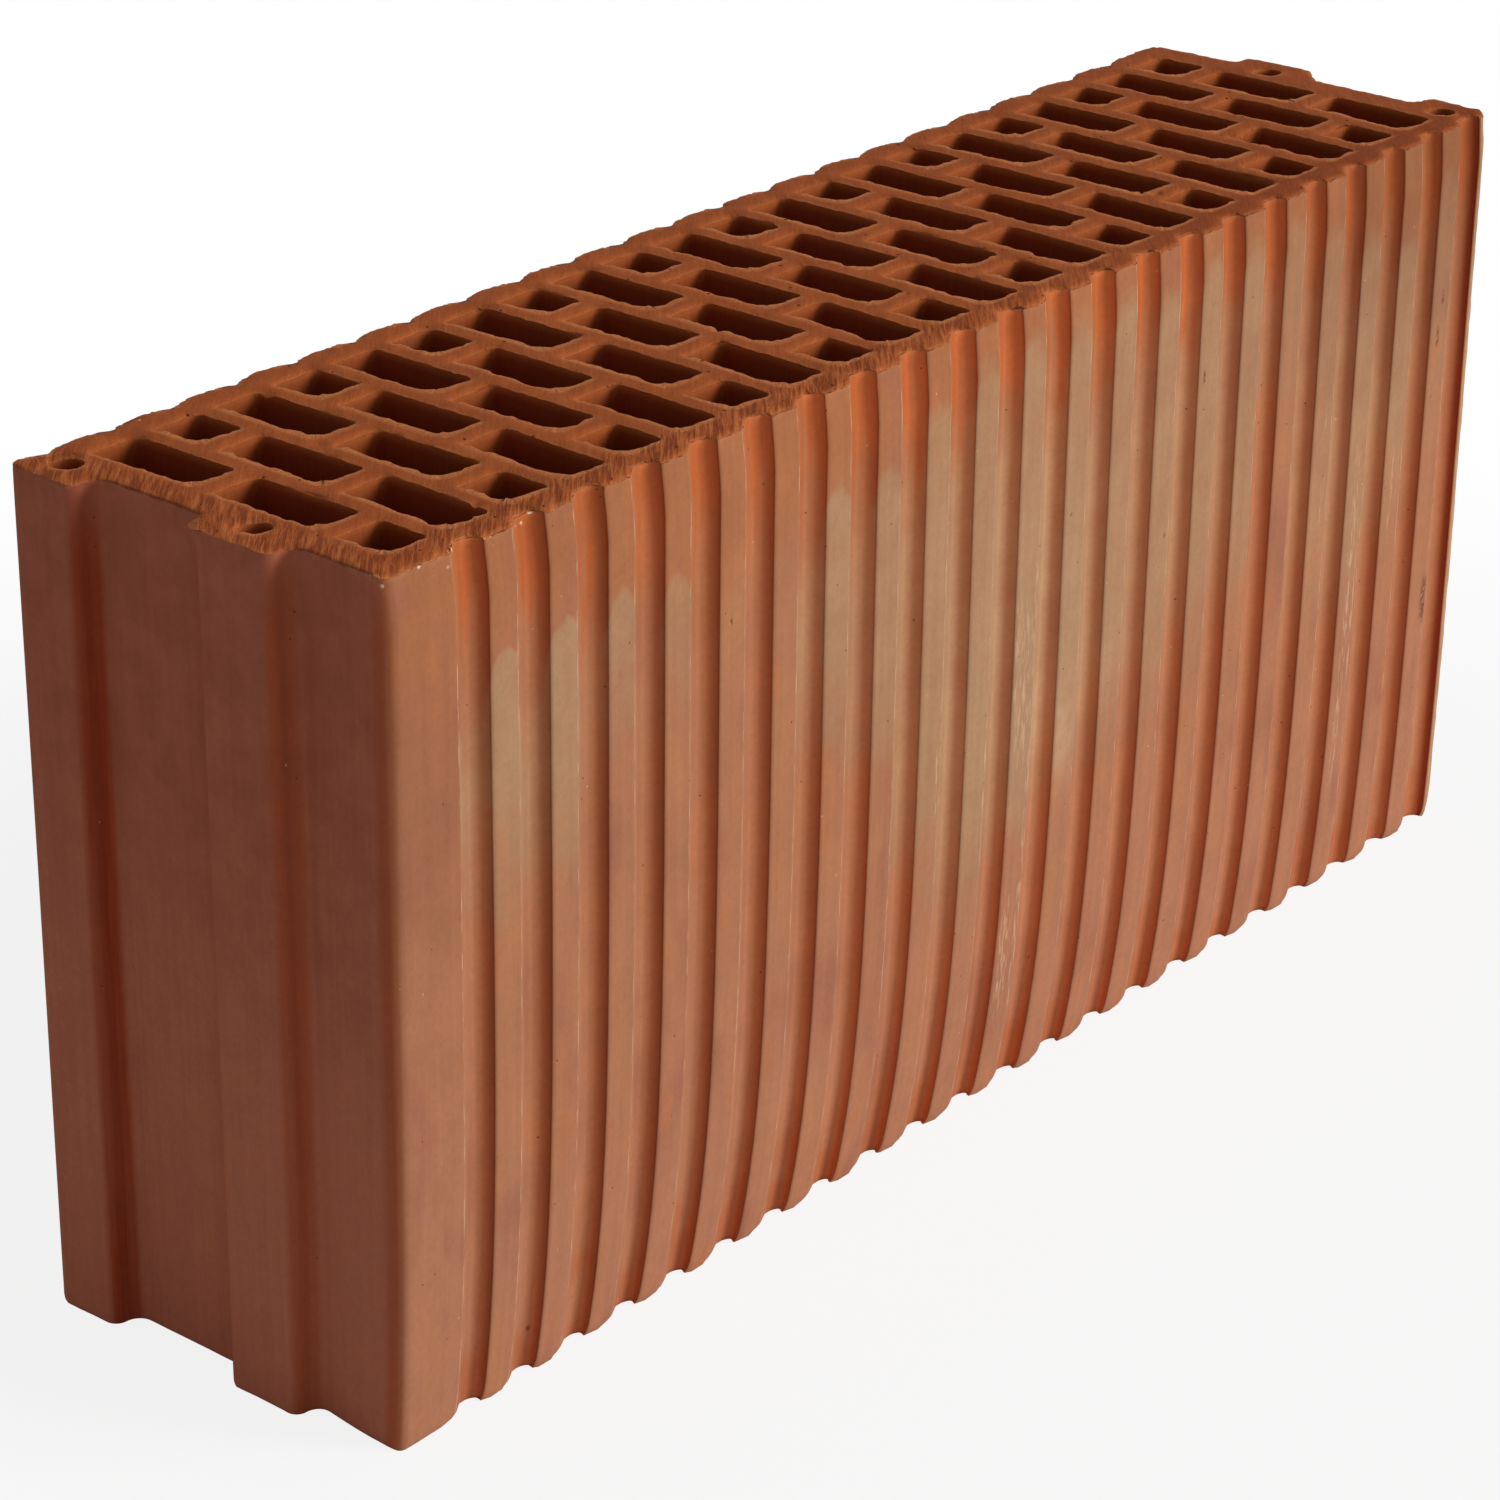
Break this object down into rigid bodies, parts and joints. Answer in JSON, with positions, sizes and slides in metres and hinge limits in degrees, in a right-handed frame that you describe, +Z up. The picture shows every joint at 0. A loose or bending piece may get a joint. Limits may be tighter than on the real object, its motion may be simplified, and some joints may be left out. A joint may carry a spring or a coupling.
{
  "type": "hollow clay block",
  "caption": "Tall fired-clay partition block with staggered vertical slots, ribbed plaster faces and tongue-and-groove ends.",
  "frame": {"origin": "middle of the bed face that it stands on", "axes": "+X along the block's length, +Y through the wall that it builds, +Z up along the slots"},
  "size_m": [0.5, 0.12, 0.238],
  "materials": {
    "fired_clay": "matt unglazed red fired clay"
  },
  "bodies": {
    "root": {"clay_block": "fired_clay"}
  },
  "joints": []
}
